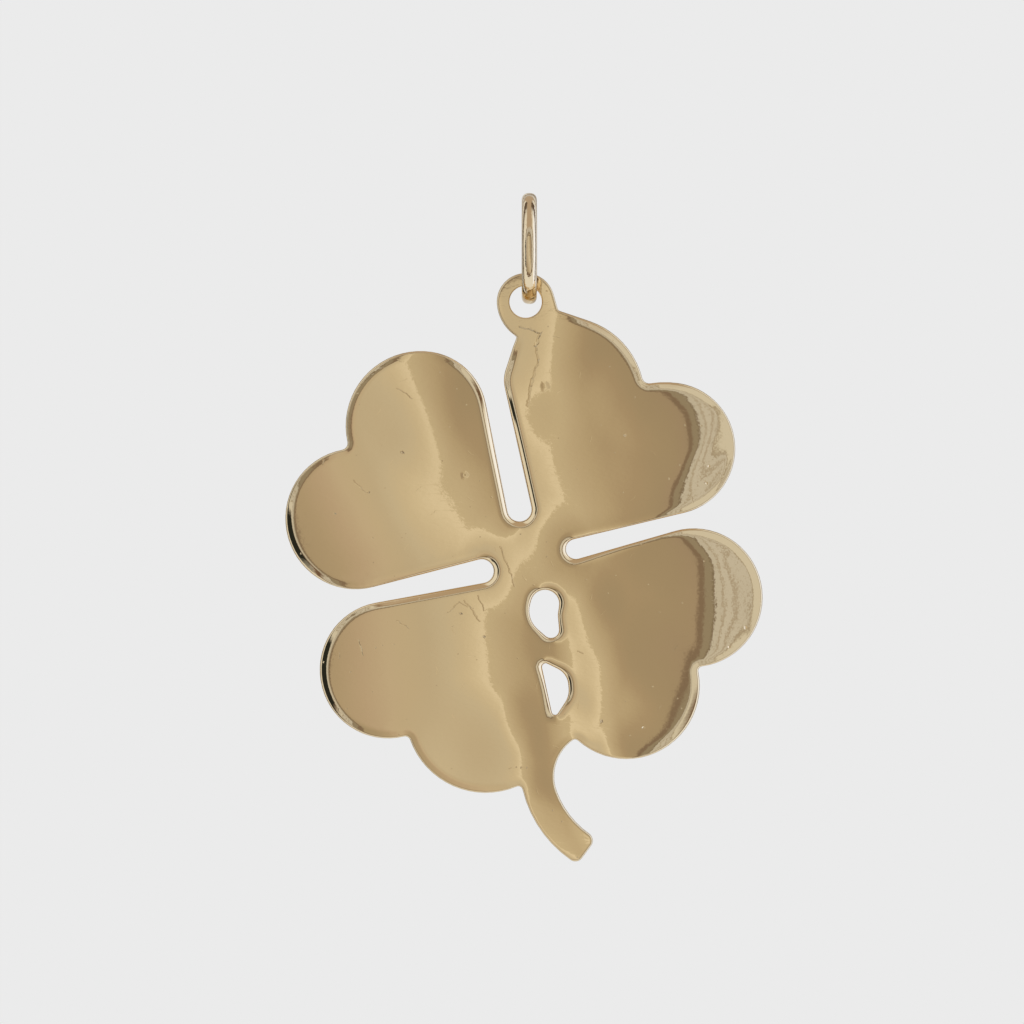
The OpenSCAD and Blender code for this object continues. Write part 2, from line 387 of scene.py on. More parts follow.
# Unevenness left by hand finishing: x and z from the hub, how far it spreads and how deep it is, in mm
SWELLS = [(-5.4, 9.4, 5, -0.107), (-11, 2.2, 5, -0.005), (-5.4, 3.4, 4.5, 0.073),
          (3.6, 11.2, 5, -0.054), (9.6, 6.4, 5, -0.088), (4.2, 5.8, 4.5, 0.024),
          (1.2, 12.4, 3.5, -0.035), (5.4, -11, 5, -0.18), (-4.2, -12.2, 5, 0.182),
          (-1.8, -5, 3.5, -0.014), (0, 0, 4, -0.161), (12.2, 3.6, 4, 0.078), (12.8, 0.2, 4, 0.059),
          (9.2, -9, 4, -0.17), (7.2, 9.8, 4, -0.109), (-8.5, 6.5, 4, 0.048), (6, -21, 7, -0.363),
          (-1.2, 8.6, 3, -0.066), (5.6, -6.6, 4.5, -0.137), (0, 20.5, 6, -0.133), (9, -2.5, 4, 0.008),
          (-5, -1.2, 4, 0.034), (2.2, -12.5, 3, 0.113), (8.2, 3.2, 3.5, 0.011),
          (10.5, -6.5, 3.5, -0.059), (5.6, -3.6, 3.2, 0.057), (5.6, -9.5, 3.2, 0.025),
          (3.6, -12.8, 3, -0.02), (3.4, -2.6, 2.6, -0.064), (8.2, -12.2, 4, 0.21),
          (8, -14.5, 6, -0.487), (10.5, -1, 4, -0.041), (13.5, -3.5, 4, 0.033),
          (10.8, 3.2, 3.5, 0.177), (10.8, 8, 4, -0.101), (2.2, 16, 5, -0.126), (13.5, 1.5, 3.5, 0.069),
          (12, 6.5, 3.5, 0.119), (0.6, 8.2, 3, 0.01), (2.4, -4.8, 3, 0.047), (1.2, -9.5, 3, 0.11),
          (0.4, 15.6, 4.5, 0.085)]
# Where the rim is ground back more or less: x, z from the hub and spread in mm, then how much
# slope and how much width, in mm, that adds
GROUND = [(-13.9, -0.3, 4.2, 0.08, 0), (-14.4, 4.6, 3.2, -0.08, 0), (-11.2, -2.6, 3.2, -0.15, 0),
          (-12.2, -7.4, 3.6, 0.06, 0), (-0.2, 15.6, 5, -0.3, 0), (3.5, -14.5, 7, -0.3, 0),
          (-6, 12.6, 3.5, -0.15, 0), (6, 1.3, 6, -0.35, 0), (0.6, -3.6, 2.4, -0.15, -0.2),
          (1.1, -8, 2.4, -0.1, -0.1), (5.8, 11.2, 3.5, -0.04, 0.05), (11.8, 8.6, 4.5, -0.15, 0),
          (8.5, -11, 4.5, -0.06, 0.15), (13.5, 3, 6, -0.15, 0), (13, -4.5, 5.5, -0.15, 0)]
# The deepest place of the hollow back, x and z from the hub, and how far out the slots' steeper edges
# reach, fully to half of that, in mm
HOLLOW = (-0.5, 2.0)
SLOTS_REACH = 13.5
print("places that are uneven:", len(SWELLS), "and places where the rim is ground:", len(GROUND))

# %% [markdown]
# ## Doming, hollowing and rounding
#
# The plate could be sculpted by hand, but the rule for it is short, so a node tree makes it from the
# blank, and each size can be changed. The tree's inputs are the named sizes. The small functions
# below each build one form out of math nodes: the fall of a ball, the round of an edge, the reach of
# an uneven place, and the flat bevel that the polishing leaves.

# %% Inputs and small forms
GEO = bpy.data.node_groups.new("dome_plate", "GeometryNodeTree")
GEO.is_modifier = True
sockets = [("Geometry", "OUTPUT", "Geometry"), ("Geometry", "INPUT", "Geometry")]
sockets += [(name, "INPUT", "Float") for name in [*LENGTHS, *SHARES]]
sockets += [(name, "INPUT", "Vector") for name in TOPS]
sockets += [("Metal", "INPUT", "Material")]
settings = {}
for name, way, kind in sockets:
    settings[name] = GEO.interface.new_socket(name, in_out=way, socket_type="NodeSocket" + kind)

given = add(GEO, "NodeGroupInput").outputs
position = add(GEO, "GeometryNodeInputPosition")
spot = add(GEO, "ShaderNodeSeparateXYZ", position)
edge = add(GEO, "GeometryNodeInputNamedAttribute", "edge_distance", data_type="FLOAT")
to_bore = add(GEO, "GeometryNodeInputNamedAttribute", "bore_distance", data_type="FLOAT")
depth = add(GEO, "GeometryNodeInputNamedAttribute", "depth", data_type="FLOAT")


def sag(radius, x, z):
    """How far a ball of this radius has fallen away at a place x and z from its top."""
    across = add(GEO, MATH, z, z, operation="MULTIPLY")
    far = add(GEO, MATH, x, x, across, operation="MULTIPLY_ADD")
    square = add(GEO, MATH, radius, radius, operation="MULTIPLY")
    left = add(GEO, MATH, add(GEO, MATH, square, far, operation="SUBTRACT"), operation="SQRT")
    return add(GEO, MATH, radius, left, operation="SUBTRACT")


def round_off(radius, distance):
    """The fall of a quarter round beside an edge."""
    share = add(GEO, MATH, distance, radius, operation="DIVIDE", use_clamp=True)
    away = add(GEO, MATH, 1.0, share, operation="SUBTRACT")
    square = add(GEO, MATH, away, away, operation="MULTIPLY")
    left = add(GEO, MATH, add(GEO, MATH, 1.0, square, operation="SUBTRACT"), operation="SQRT")
    fall = add(GEO, MATH, 1.0, left, operation="SUBTRACT")
    return add(GEO, MATH, radius, fall, operation="MULTIPLY")


def spread(x, z, reach):
    """How strongly a place from the hub acts on a point: 1 there, 0 beyond its reach."""
    there = (HUB[0] + x * MM, 0, HUB[1] + z * MM)
    away = add(GEO, VECTOR, position, there, operation="DISTANCE").outputs["Value"]
    return add(GEO, RANGE, away, 0, reach * MM, 1, 0, interpolation_type="SMOOTHSTEP")


def bevel(width, slope, softness):
    """The fall of a flat bevel that starts softly at a width from the edge."""
    beyond = add(GEO, MATH, width, edge, operation="SUBTRACT")
    share = add(GEO, MATH, beyond, softness, operation="DIVIDE", use_clamp=True)
    square = add(GEO, MATH, share, share, operation="MULTIPLY")
    start = add(GEO, MATH, square, softness, operation="MULTIPLY")
    past = add(GEO, MATH, beyond, softness, operation="SUBTRACT")
    past = add(GEO, MATH, past, 0.0, operation="MAXIMUM")
    fall = add(GEO, MATH, start, 0.5, past, operation="MULTIPLY_ADD")
    return add(GEO, MATH, fall, slope, operation="MULTIPLY")


print("inputs of the plate's tree:", len(settings))

# %% [markdown]
# The front is the nearest of four domes, with the valleys between them softened, and the uneven
# places added. Near the edge it falls by the bevel and then by a round, both worked out from the
# edge distance. The slots were filed out, so their edges are steeper.

# %% The front
front = None
for name in TOPS:
    top = add(GEO, "ShaderNodeSeparateXYZ", given[name])
    x = add(GEO, MATH, spot.outputs[0], top.outputs[0], operation="SUBTRACT")
    z = add(GEO, MATH, spot.outputs[2], top.outputs[2], operation="SUBTRACT")
    askew = add(GEO, MATH, z, top.outputs[1], operation="MULTIPLY")
    askew = add(GEO, MATH, x, askew, operation="MULTIPLY")
    askew = add(GEO, MATH, askew, given["Dome radius"], operation="DIVIDE")
    dome = add(GEO, MATH, sag(given["Dome radius"], x, z), askew, operation="ADD")
    if front is None:
        front = dome
    else:
        front = add(GEO, MATH, front, dome, given["Valley softness"], operation="SMOOTH_MIN")
for x, z, reach, height in SWELLS:
    front = add(GEO, MATH, spread(x, z, reach), height * MM, front, operation="MULTIPLY_ADD")

in_slots = add(GEO, MATH, spread(0, 0, SLOTS_REACH), 2.0, operation="MULTIPLY", use_clamp=True)
slope = add(GEO, MATH, in_slots, given["Slot slope"], given["Bevel slope"], operation="MULTIPLY_ADD")
width = given["Bevel width"]
for x, z, reach, more_slope, more_width in GROUND:
    slope = add(GEO, MATH, spread(x, z, reach), more_slope, slope, operation="MULTIPLY_ADD")
    width = add(GEO, MATH, spread(x, z, reach), more_width * MM, width, operation="MULTIPLY_ADD")
slope = add(GEO, MATH, slope, 0.0, operation="MAXIMUM")
softness = add(GEO, MIX, in_slots, given["Bevel softness"], given["Slot bevel softness"],
               data_type="FLOAT")
falls = [bevel(width, slope, softness), round_off(given["Edge round"], edge),
         round_off(given["Bore round"], to_bore), given["Front"]]
for fall in falls:
    front = add(GEO, MATH, front, fall, operation="ADD")
print("nodes up to the front:", len(GEO.nodes))

# %% [markdown]
# The back is one smooth hollow, a wall's thickness behind the front at its deepest place. Each point
# of the blank moves between the front and the back by its depth in the wall, and the tree ends with
# Realize Instances and Set Material.

# %% The back and the end of the tree
hollow_x = add(GEO, MATH, spot.outputs[0], HUB[0] + HOLLOW[0] * MM, operation="SUBTRACT")
hollow_z = add(GEO, MATH, spot.outputs[2], HUB[1] + HOLLOW[1] * MM, operation="SUBTRACT")
back = sag(given["Back radius"], hollow_x, hollow_z)
for rise in (given["Wall"], given["Front"]):
    back = add(GEO, MATH, back, rise, operation="ADD")
back = add(GEO, MATH, back, round_off(given["Back edge round"], edge), operation="SUBTRACT")
lift = add(GEO, MIX, depth, front, back, data_type="FLOAT")
shaped = add(GEO, "GeometryNodeSetPosition", sockets={
    "Geometry": given["Geometry"], "Offset": add(GEO, "ShaderNodeCombineXYZ", 0, lift, 0)})
smooth = add(GEO, "GeometryNodeSetShadeSmooth", sockets={"Geometry": shaped})
real = add(GEO, "GeometryNodeRealizeInstances", smooth)
metal = add(GEO, "GeometryNodeSetMaterial", sockets={"Geometry": real, "Material": given["Metal"]})
add(GEO, "NodeGroupOutput", metal)
print("node tree for the plate:", len(GEO.nodes), "nodes")

# %% [markdown]
# ## Where the marks are
#
# Years of wear leave single dents and scratches. Some of them are large enough to be seen one by one,
# so they are short tables of judged places: a dent is a round spot, a scratch runs between
# two ends, and the fold is a line beside the eye where the wax was bent.

# %% Tables of marks
# Dents: x and z from the hub, size and depth, all in mm. A minus depth is a raised middle
DENTS = [(-3.93, 4.92, 0.30, 0.03), (-3.93, 4.92, 0.14, -0.02), (-7.65, 6.24, 0.13, 0.03),
         (-9.7, 3.9, 0.1, 0.02), (-11.7, 2.64, 0.1, 0.02), (5.73, 7.32, 0.11, 0.03),
         (4.29, -9.9, 0.11, 0.03), (6.87, -10.3, 0.1, 0.03), (13.05, -4.2, 0.12, 0.03),
         (12.0, -5.4, 0.1, 0.03), (10.8, 5.5, 0.11, 0.03), (10.6, 4.5, 0.1, 0.03),
         (0.93, 10.3, 0.35, 0.02), (-2.7, -4.8, 0.12, 0.03), (-4.1, -3.4, 0.1, 0.03),
         (-7.0, -1.5, 0.1, 0.02)]
# Four small dots in a row, near the foot of the left lower leaf
DENTS += [(-1.2 + 0.36 * i, -12.66, 0.07, 0.012) for i in range(4)]
# Scratches: x and z of each end from the hub, in mm
SCRATCHES = [(-8.0, 10.2, -7.05, 9.54), (-8.0, -3.78, -7.3, -4.26), (-10.3, -5.0, -10.0, -5.9),
             (2.85, -5.6, 3.2, -5.76), (-3.9, -2.6, -3.0, -3.8), (-4.9, -3.3, -4.2, -2.7),
             (-4.2, -2.7, -3.4, -3.1), (-3.1, -2.3, -2.7, -3.2), (-1.77, 0.7, -0.9, -1.7),
             (-10.6, 4.6, -9.9, 3.9)]
SCRATCH_SIZE, SCRATCH_DEPTH = 0.05, 0.006
# The fold line: x and z from the hub, in mm
FOLD = [(-0.55, 13.9), (0.65, 13.5), (0.35, 12.7), (0.5, 11.9), (0.03, 10.3), (-0.15, 9.1)]
FOLD_SIZE, FOLD_DEPTH = 0.1, 0.006


def from_hub(x, z):
    """A place that is counted from the hub, counted from the origin instead, in mm."""
    return (x + HUB[0] / MM, z + HUB[1] / MM)


marks = [(from_hub(x, z), from_hub(x, z), size, deep) for x, z, size, deep in DENTS]
marks += [(from_hub(a, b), from_hub(c, d), SCRATCH_SIZE, SCRATCH_DEPTH) for a, b, c, d in SCRATCHES]
marks += [(from_hub(*a), from_hub(*b), FOLD_SIZE, FOLD_DEPTH) for a, b in zip(FOLD, FOLD[1:])]
print("marks placed one by one:", len(marks))

# %% [markdown]
# ## Marks as node groups
#
# A mark could be cut into the mesh, but it is finer than the mesh's points, so it is height in the
# material. One group gives the depth of a single round ended mark at any spot. It measures how far
# the spot is from the line between the mark's two ends.


# %% Group for one mark
def new_group(name, inputs):
    """A shader group with these inputs, each a name and a kind, and one output named Depth."""
    group = bpy.data.node_groups.new(name, "ShaderNodeTree")
    for label, kind in inputs:
        group.interface.new_socket(label, in_out="INPUT", socket_type="NodeSocket" + kind)
    group.interface.new_socket("Depth", in_out="OUTPUT", socket_type="NodeSocketFloat")
    return group, add(group, "NodeGroupInput").outputs


MARK, inputs = new_group("mark", (("Spot", "Vector"), ("Start", "Vector"), ("End", "Vector"),
                                  ("Size", "Float")))
run = add(MARK, VECTOR, inputs["End"], inputs["Start"], operation="SUBTRACT")
reach = add(MARK, VECTOR, inputs["Spot"], inputs["Start"], operation="SUBTRACT")
length = add(MARK, VECTOR, run, run, operation="DOT_PRODUCT")
length = add(MARK, MATH, length, 1e-6, operation="MAXIMUM")
along = add(MARK, VECTOR, reach, run, operation="DOT_PRODUCT")
share = add(MARK, MATH, along, length, operation="DIVIDE", use_clamp=True)
nearest = add(MARK, VECTOR, run, operation="SCALE", sockets={"Scale": share})
away = add(MARK, VECTOR, reach, nearest, operation="SUBTRACT")
away = add(MARK, VECTOR, away, operation="LENGTH")
there = add(MARK, RANGE, away, 0, inputs["Size"], 1, 0, interpolation_type="SMOOTHSTEP")
add(MARK, "NodeGroupOutput", there)
print("nodes in the group for a mark:", len(MARK.nodes))

# %% [markdown]
# Smaller marks are too many to list, so another group draws them by chance. It splits the metal into
# cells, puts one mark in each cell, turns it any way, and leaves it out of most cells.

# %% Group for marks by chance
STRAY, inputs = new_group("stray_marks", (("Spot", "Vector"), ("Cell", "Float"), ("Length", "Float"),
                                          ("Size", "Float"), ("Bare share", "Float")))
often = add(STRAY, MATH, 1.0, inputs["Cell"], operation="DIVIDE")
cells = add(STRAY, "ShaderNodeTexVoronoi", voronoi_dimensions="3D",
            sockets={"Vector": inputs["Spot"], "Scale": often})
chance = add(STRAY, "ShaderNodeSeparateColor", cells.outputs["Color"])
away = add(STRAY, VECTOR, inputs["Spot"], cells.outputs["Position"], operation="SUBTRACT")
turn = add(STRAY, MATH, chance.outputs[0], math.tau, operation="MULTIPLY")
lying = add(STRAY, "ShaderNodeVectorRotate", rotation_type="Y_AXIS",
            sockets={"Vector": away, "Angle": turn})
lying = add(STRAY, "ShaderNodeSeparateXYZ", lying)
past = add(STRAY, MATH, lying.outputs[0], operation="ABSOLUTE")
past = add(STRAY, MATH, past, inputs["Length"], operation="SUBTRACT")
past = add(STRAY, MATH, past, 0.0, operation="MAXIMUM")
away = add(STRAY, "ShaderNodeCombineXYZ", past, lying.outputs[2], 0)
away = add(STRAY, VECTOR, away, operation="LENGTH")
there = add(STRAY, RANGE, away, 0, inputs["Size"], 1, 0, interpolation_type="SMOOTHSTEP")
kept = add(STRAY, MATH, chance.outputs[1], inputs["Bare share"], operation="GREATER_THAN")
add(STRAY, "NodeGroupOutput", add(STRAY, MATH, there, kept, operation="MULTIPLY"))
print("nodes in the group for marks by chance:", len(STRAY.nodes))

# %% [markdown]
# ## Polished gold
#
# 14 carat yellow gold is paler than pure gold, and a rouge wheel leaves it nearly as smooth as a
# mirror. What is left is a faint waviness and the ripples and hairs of polishing, which is why the
# lines mirrored in it are a little jagged, and the marks of wear on top. All of that is height, in
# real millimetres, because height bends what the metal mirrors, and a painted pattern would not.

# %% Waves, ripples and hairs
# How many waves there are per mm and how high they stand, in mm. Wire is waved more than a casting,
# because winding it on a rod and closing it dents it along its length
CAST_WAVES, CAST_WAVE_HEIGHT = 1.7, 0.0008
WIRE_WAVES, WIRE_WAVE_HEIGHT = 2.2, 0.02
# The ripples and the hairs of polishing: how many per mm each way, and their height in mm
RIPPLES, RIPPLE_HEIGHT = (3, 3, 6), 0.0015
HAIRS, HAIR_TURN, HAIR_HEIGHT = (0.5, 9, 9), (0.3, 0.5, 0.9), 0.0003
# The noise levels between which a hair rises
HAIR_START, HAIR_FULL = 0.62, 0.7


def polished(tree, mm, waves, wave_height):
    """The normals of polished metal: a chain of bumps for waves, ripples and hairs."""
    wavy = add(tree, NOISE, mm, sockets={"Scale": waves, "Detail": 2.0, "Roughness": 0.5})
    bump = add(tree, BUMP, sockets={"Strength": 1.0, "Distance": wave_height * MM, "Height": wavy})
    brushed = add(tree, "ShaderNodeMapping", mm, sockets={"Scale": RIPPLES})
    ripples = add(tree, NOISE, brushed, sockets={"Scale": 1.0, "Detail": 2.0, "Roughness": 0.5})
    bump = add(tree, BUMP, sockets={
        "Strength": 1.0, "Distance": RIPPLE_HEIGHT * MM, "Height": ripples, "Normal": bump})
    turned = add(tree, "ShaderNodeMapping", mm, sockets={"Rotation": HAIR_TURN, "Scale": HAIRS})
    hairs = add(tree, NOISE, turned, sockets={"Scale": 1.0, "Detail": 3.0, "Roughness": 0.7})
    hairs = add(tree, RANGE, hairs, HAIR_START, HAIR_FULL, 0, 1)
    return add(tree, BUMP, sockets={
        "Strength": 1.0, "Distance": HAIR_HEIGHT * MM, "Height": hairs, "Normal": bump})


print("heights of waves, ripples and hairs, mm:", CAST_WAVE_HEIGHT, RIPPLE_HEIGHT, HAIR_HEIGHT)

# %% [markdown]
# The marks lie along slightly wandering lines, because a real scratch is never quite straight. Those
# by chance are on every side. Those placed one by one are only on the front, so their bumps fade out
# where the metal doesn't face forwards.

# %% Marks of wear
# How far the lines of the marks wander, in mm, and how often per mm
WANDER, WANDERS = 0.35, 2.2
# Marks by chance: cell size, half length, size, share of bare cells, and depth, in mm
STRAYS = [(1.7, 0.2, 0.03, 0.75, 0.0015), (1.1, 0.0, 0.05, 0.8, 0.008)]
# How many marks share one bump node, because each bump takes render time
MARKS_PER_BUMP = 8
# How far the metal turns from forwards to backwards while the placed marks fade out
TURN_AWAY = 0.2


def marked(tree, mm, bump, marks, facing):
    """The normals of worn metal: bumps for the marks, after the given bump."""
    wander = add(tree, NOISE, mm, sockets={"Scale": WANDERS, "Detail": 2.0})
    off = add(tree, VECTOR, wander.outputs["Color"], (0.5, 0.5, 0.5), operation="SUBTRACT")
    off = add(tree, VECTOR, off, operation="SCALE", sockets={"Scale": WANDER})
    plane = add(tree, VECTOR, mm, off, operation="ADD")
    plane = add(tree, VECTOR, plane, (1, 0, 1), operation="MULTIPLY")
    stray = 0.0
    for cell, length, size, bare, deep in STRAYS:
        some = add(tree, "ShaderNodeGroup", node_tree=STRAY)
        tree.links.new(plane.outputs[0], some.inputs["Spot"])
        sizes = (("Cell", cell), ("Length", length), ("Size", size), ("Bare share", bare))
        for label, value in sizes:
            some.inputs[label].default_value = value
        stray = add(tree, MATH, some, deep, stray, operation="MULTIPLY_ADD")
    bump = add(tree, BUMP, invert=True, sockets={
        "Strength": 1.0, "Distance": MM, "Height": stray, "Normal": bump})
    in_front = add(tree, RANGE, facing, TURN_AWAY, -TURN_AWAY, 0, 1)
    for first in range(0, len(marks), MARKS_PER_BUMP):
        dents = 0.0
        for start, end, size, deep in marks[first:first + MARKS_PER_BUMP]:
            one = add(tree, "ShaderNodeGroup", node_tree=MARK)
            tree.links.new(plane.outputs[0], one.inputs["Spot"])
            one.inputs["Start"].default_value = (start[0], 0, start[1])
            one.inputs["End"].default_value = (end[0], 0, end[1])
            one.inputs["Size"].default_value = size
            dents = add(tree, MATH, one, deep, dents, operation="MULTIPLY_ADD")
        bump = add(tree, BUMP, invert=True, sockets={
            "Strength": in_front, "Distance": MM, "Height": dents, "Normal": bump})
    return bump


print("sorts of marks by chance:", len(STRAYS))

# %% [markdown]
# One function makes the gold for both pieces: the bumps, a colour that darkens a little in large
# patches, and a shine that dulls in the same patches. The wire is a little paler than the casting.

# %% The gold
# The patches: how many per mm, and the noise levels between which they grow
PATCHES, PATCH_START, PATCH_FULL = 0.25, 0.3, 0.7
DARKER, DARKER_SHARE = 0.93, 0.35
SHINY, DULL = 0.02, 0.045


def gold(title, colour, marks, waves, wave_height):
    """Polished 14 carat gold with these marks, and with waves per mm of this height in mm."""
    metal = bpy.data.materials.new(title)
    metal.use_nodes = True
    tree = metal.node_tree
    tree.nodes.clear()
    place = add(tree, "ShaderNodeTexCoord").outputs
    facing = add(tree, "ShaderNodeSeparateXYZ", place["Normal"]).outputs[1]
    mm = add(tree, VECTOR, place["Object"], operation="SCALE", sockets={"Scale": 1 / MM})
    bump = polished(tree, mm, waves, wave_height)
    bump = marked(tree, mm, bump, marks, facing)
    patches = add(tree, NOISE, mm, sockets={"Scale": PATCHES, "Detail": 3.0})
    share = add(tree, RANGE, patches, PATCH_START, PATCH_FULL, 0, DARKER_SHARE)
    shade = add(tree, MIX, share, linear(colour), linear(colour, DARKER), data_type="RGBA")
    haze = add(tree, RANGE, patches, PATCH_START, PATCH_FULL, SHINY, DULL)
    surface = add(tree, "ShaderNodeBsdfPrincipled", sockets={
        "Base Color": shade, "Metallic": 1.0, "Roughness": haze, "Normal": bump})
    add(tree, "ShaderNodeOutputMaterial", surface)
    print(title, "has", len(tree.nodes), "nodes")
    return metal


cast_gold = gold("cast_and_polished_14_carat_gold", GOLD, marks, CAST_WAVES, CAST_WAVE_HEIGHT)
wire_gold = gold("drawn_and_polished_14_carat_gold_wire", WIRE_GOLD, [], WIRE_WAVES, WIRE_WAVE_HEIGHT)

# %% [markdown]
# ## The clover
#
# The blank gets the plate's tree as a modifier, and the modifier's inputs get the named sizes. The
# result is turned into a plain mesh, which rides the swinging body and stands in for the measured
# solid. A modifier could stay live, but a plain mesh keeps the shape as it is seen here.


# %% Make the clover
def bake(source, title):
    """A plain mesh of what the node tree made, as a new piece."""
    bpy.context.view_layer.update()
    seen = source.evaluated_get(bpy.context.evaluated_depsgraph_get())
    mesh = bpy.data.meshes.new_from_object(seen)
    mesh.name = title
    piece = bpy.data.objects.new(title, mesh)
    scene.collection.objects.link(piece)
    source.modifiers.clear()
    bpy.data.objects.remove(source)
    return piece


sheet = bpy.data.objects.new("clover_blank", blank)
scene.collection.objects.link(sheet)
shaper = sheet.modifiers.new("plate", "NODES")
shaper.node_group = GEO
for name, value in {**LENGTHS, **SHARES}.items():
    shaper[settings[name].identifier] = value
for name, (x, z, askew) in TOPS.items():
    shaper[settings[name].identifier] = (HUB[0] + x * MM, askew, HUB[1] + z * MM)
shaper[settings["Metal"].identifier] = cast_gold
clover = bake(sheet, "polished_clover")
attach(clover, "charm")
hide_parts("clover")
print("clover:", len(clover.data.vertices), "points,", len(clover.data.polygons), "faces")

# %% [markdown]
# ## The jump ring
#
# A jump ring is drawn wire wound on a rod, cut and soldered shut. A plain torus could stand for it,
# but the node tree makes it as it is made: a profile is swept along a circle that stands upright
# through the eye. The profile is a little squarer than a circle, because polishing flattens the
# wire, and that widens the streak it mirrors.

# %% Node tree for the ring
RING_STEPS = 192
WIRE_STEPS = 40
RING = bpy.data.node_groups.new("wind_ring", "GeometryNodeTree")
RING.is_modifier = True
RING.interface.new_socket("Geometry", in_out="OUTPUT", socket_type="NodeSocketGeometry")
ring_inputs = {}
for name, kind in (("Middle radius", "Float"), ("Wire radius", "Float"), ("Squareness", "Float"),
                   ("Middle", "Vector"), ("Metal", "Material")):
    kind = "NodeSocket" + kind
    ring_inputs[name] = RING.interface.new_socket(name, in_out="INPUT", socket_type=kind)
given = add(RING, "NodeGroupInput").outputs
circle = add(RING, "GeometryNodeCurvePrimitiveCircle", sockets={
    "Resolution": RING_STEPS, "Radius": given["Middle radius"]})
profile = add(RING, "GeometryNodeCurvePrimitiveCircle", sockets={
    "Resolution": WIRE_STEPS, "Radius": given["Wire radius"]})
corner = add(RING, "GeometryNodeInputPosition")
share = 0.0
for side in add(RING, "ShaderNodeSeparateXYZ", corner).outputs[:2]:
    part = add(RING, MATH, side, given["Wire radius"], operation="DIVIDE")
    part = add(RING, MATH, part, operation="ABSOLUTE")
    part = add(RING, MATH, part, given["Squareness"], operation="POWER")
    share = add(RING, MATH, part, share, operation="ADD")
root = add(RING, MATH, -1.0, given["Squareness"], operation="DIVIDE")
out = add(RING, MATH, share, root, operation="POWER")
squarer = add(RING, VECTOR, corner, operation="SCALE", sockets={"Scale": out})
profile = add(RING, "GeometryNodeSetPosition", sockets={"Geometry": profile, "Position": squarer})
wire = add(RING, "GeometryNodeCurveToMesh", sockets={"Curve": circle, "Profile Curve": profile})
stood = add(RING, "GeometryNodeTransform", sockets={
    "Geometry": wire, "Translation": given["Middle"], "Rotation": (0, math.pi / 2, 0)})
smooth = add(RING, "GeometryNodeSetShadeSmooth", sockets={"Geometry": stood})
real = add(RING, "GeometryNodeRealizeInstances", smooth)
metal = add(RING, "GeometryNodeSetMaterial", sockets={"Geometry": real, "Material": given["Metal"]})
add(RING, "NodeGroupOutput", metal)
print("node tree for the ring:", len(RING.nodes), "nodes")

# %% [markdown]
# The wire's radius and the ring's middle radius come from the box of the measured ring, so the finer
# ring is the same size. A squareness of 2 would be a circle.

# %% Make the jump ring
SQUARENESS = 2.4
wire_radius = (ring_high.x - ring_low.x) / 2
middle_radius = (ring_high.z - ring_low.z) / 2 - wire_radius
winding = bpy.data.objects.new("ring_winding", bpy.data.meshes.new("ring_winding"))
scene.collection.objects.link(winding)
winder = winding.modifiers.new("wind", "NODES")
winder.node_group = RING
values = {"Middle radius": middle_radius, "Wire radius": wire_radius, "Squareness": SQUARENESS,
          "Middle": tuple((ring_low + ring_high) / 2), "Metal": wire_gold}
for name, value in values.items():
    winder[ring_inputs[name].identifier] = value
ring = bake(winding, "polished_jump_ring")
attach(ring, "ring")
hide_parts("jump_ring")
outside = 2 * (middle_radius + wire_radius)
print(f"ring: wire {2 * wire_radius / MM:.2f} mm, {outside / MM:.2f} mm outside")

# %% [markdown]
# ## The studio
#
# Polished metal shows only what is around it. The pendant hangs in a white tent: the camera sees a
# plain pale surround, and the gold mirrors grey and brown cards with soft edges. The cards could be
# planes with lamps, but painted on the surround by direction they give no noise and are easy to
# place. A face that leans by some slope mirrors one direction, so the cards are laid out by the
# slope of the face that shows them. Directions behind the pendant are counted the other way round,
# so its back mirrors the same cards.

# %% Directions as slopes
# The most light that a card gives
BRIGHTEST = 4.0
# How far behind the pendant a direction is where the counting changes over
BEHIND_START, BEHIND_FULL = 0.35, 0.6
world = bpy.data.worlds.new("white_tent")
scene.world = world
world.use_nodes = True
sky = world.node_tree
sky.nodes.clear()
gold_light = linear(GOLD)


def card(code):
    """The light that a card has to give for this gold to show the colour."""
    return [min(BRIGHTEST, a / b) for a, b in zip(linear(code)[:3], gold_light)] + [1.0]


way = add(sky, "ShaderNodeSeparateXYZ", add(sky, "ShaderNodeTexCoord").outputs["Generated"])
behind = add(sky, RANGE, way.outputs[1], BEHIND_START, BEHIND_FULL, 0, 1)
ahead = add(sky, MATH, 1.0, way.outputs[1], operation="SUBTRACT")
away = add(sky, MATH, 1.0, way.outputs[1], operation="ADD")
divisor = add(sky, MIX, behind, ahead, away, data_type="FLOAT")
slope_x = add(sky, MATH, way.outputs[0], divisor, operation="DIVIDE")
slope_z = add(sky, MATH, way.outputs[2], divisor, operation="DIVIDE")
print("nodes for the slopes:", len(sky.nodes))

# %% [markdown]
# The middle of the tent is one broad card that runs from brown at one side to pale in the middle and
# to brown again. Its bands lean and bend a little, and it gets dimmer towards the top. Its numbers
# and its colours come from a fit to what the real piece mirrors.

# %% The broad card
# How much the bands lean, shift and bend, and how fast the card dims upwards, all per slope
LEAN, SHIFT, BEND, FADE = 0.197, 0.037, -0.54, -0.137
# Half the card's width, as a slope
BROAD = 0.4
